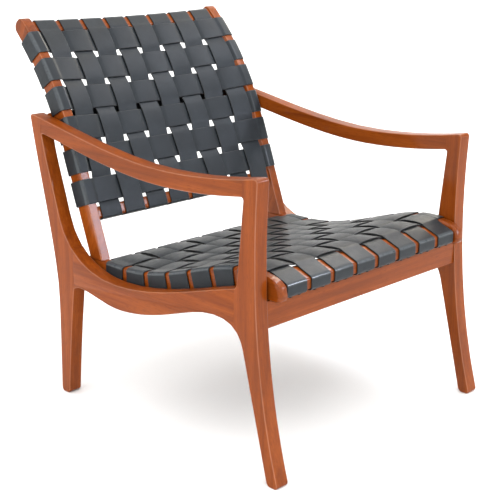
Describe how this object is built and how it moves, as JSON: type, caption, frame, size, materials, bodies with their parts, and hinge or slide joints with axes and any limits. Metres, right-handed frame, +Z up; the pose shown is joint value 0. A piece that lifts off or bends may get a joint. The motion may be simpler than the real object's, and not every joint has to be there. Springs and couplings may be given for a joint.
{
  "type": "woven strap lounge chair",
  "caption": "Low open-frame lounge chair of shaped hardwood with sloping arms and a seat and leaning back woven from wide flat leather straps.",
  "frame": {"origin": "on the floor, under the middle of the chair's bounding box", "axes": "+Z up, the chair faces -Y, and the sitter's left is +X"},
  "size_m": [0.65, 0.8292, 0.8105],
  "materials": {
    "wood": "reddish brown hardwood under a semi-gloss lacquer",
    "leather": "smooth charcoal strap leather with a soft sheen",
    "steel": "plain steel bolts"
  },
  "bodies": {
    "root": {"right_front_leg": "wood", "right_rear_leg": "wood", "right_armrest": "wood", "right_side_rail": "wood", "right_seat_rail": "wood", "right_back_stile": "wood", "left_front_leg": "wood", "left_rear_leg": "wood", "left_armrest": "wood", "left_side_rail": "wood", "left_seat_rail": "wood", "left_back_stile": "wood", "front_rail": "wood", "rear_rail": "wood", "back_support_rail": "wood", "seat_front_bar": "wood", "seat_rear_bar": "wood", "back_bottom_rail": "wood", "back_top_rail": "wood", "seat_strap_cross_1": "leather", "seat_strap_cross_2": "leather", "seat_strap_cross_3": "leather", "seat_strap_cross_4": "leather", "seat_strap_cross_5": "leather", "seat_strap_cross_6": "leather", "seat_strap_cross_7": "leather", "seat_strap_long_1": "leather", "seat_strap_long_2": "leather", "seat_strap_long_3": "leather", "seat_strap_long_4": "leather", "seat_strap_long_5": "leather", "seat_strap_long_6": "leather", "seat_strap_long_7": "leather", "seat_strap_long_8": "leather", "back_strap_cross_1": "leather", "back_strap_cross_2": "leather", "back_strap_cross_3": "leather", "back_strap_cross_4": "leather", "back_strap_cross_5": "leather", "back_strap_cross_6": "leather", "back_strap_upright_1": "leather", "back_strap_upright_2": "leather", "back_strap_upright_3": "leather", "back_strap_upright_4": "leather", "back_strap_upright_5": "leather", "back_strap_upright_6": "leather", "back_strap_upright_7": "leather", "back_strap_upright_8": "leather", "right_front_bolt": "steel", "right_rear_bolt": "steel", "left_front_bolt": "steel", "left_rear_bolt": "steel"}
  },
  "joints": []
}
